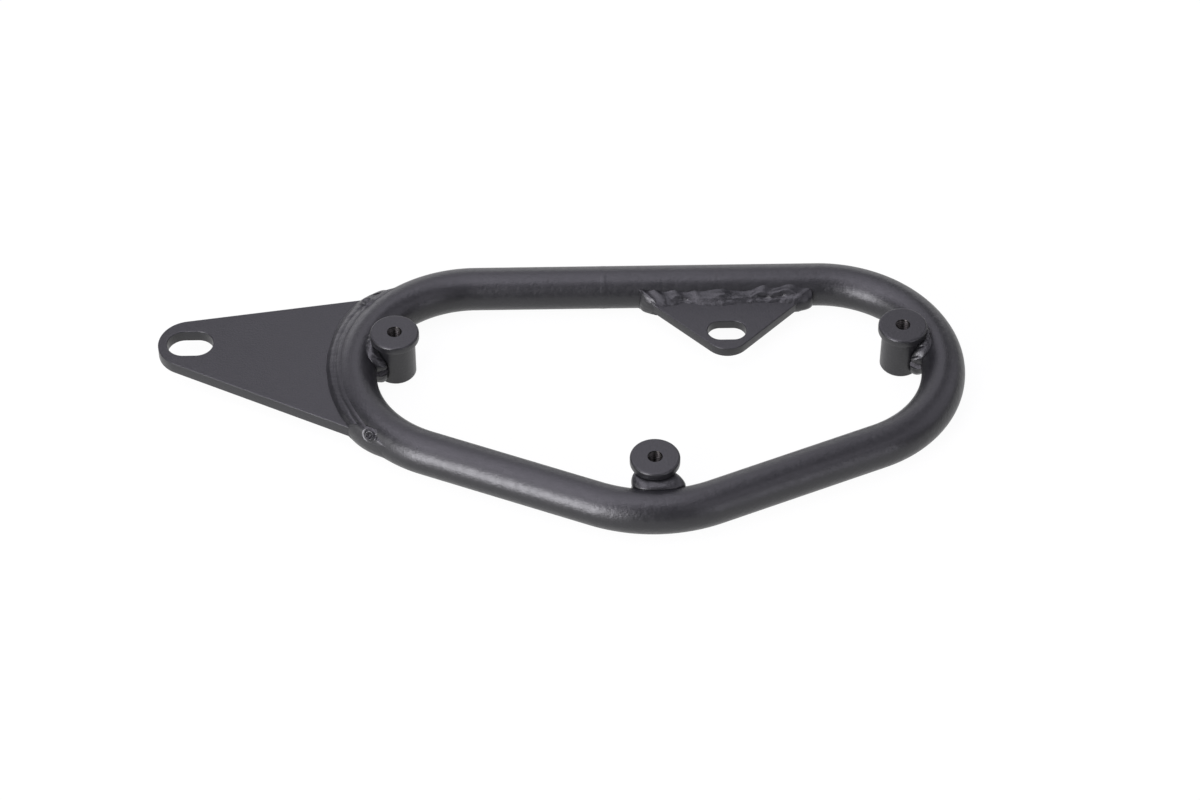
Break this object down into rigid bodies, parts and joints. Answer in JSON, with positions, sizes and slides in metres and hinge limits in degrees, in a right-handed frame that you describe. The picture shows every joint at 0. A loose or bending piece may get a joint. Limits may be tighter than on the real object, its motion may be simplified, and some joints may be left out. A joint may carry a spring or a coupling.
{
  "type": "pannier frame",
  "caption": "Flat welded side frame for motorcycle panniers: bent tube loop with flanged threaded bosses, a slotted side plate and a small slotted inner bracket.",
  "frame": {"origin": "centre of the front boss's upper face, on which the pannier's holder seats", "axes": "+X along the rear straight of the loop, away from the side plate; +Y from the front boss to the rear straight; +Z out of the threaded bosses, square to the plane of the loop"},
  "size_m": [0.2975, 0.131, 0.0202],
  "materials": {
    "tubing": "satin powder coat",
    "plate": "satin powder coat",
    "boss": "satin powder coat",
    "weld": "satin powder coat over rippled weld"
  },
  "bodies": {
    "root": {"loop_tube": "tubing", "tube_butt_weld": "weld", "side_plate": "plate", "inner_bracket": "plate", "left_boss": "boss", "right_boss": "boss", "front_boss": "boss", "side_plate_weld_top": "weld", "side_plate_weld_under": "weld", "side_plate_weld_rear_end": "weld", "side_plate_weld_front_end": "weld", "bracket_weld_top": "weld", "bracket_weld_under": "weld", "bracket_weld_left_end": "weld", "bracket_weld_right_end": "weld", "left_boss_weld_top": "weld", "left_boss_weld_under": "weld", "right_boss_weld_top": "weld", "right_boss_weld_under": "weld", "front_boss_weld_top": "weld", "front_boss_weld_under": "weld"}
  },
  "joints": []
}
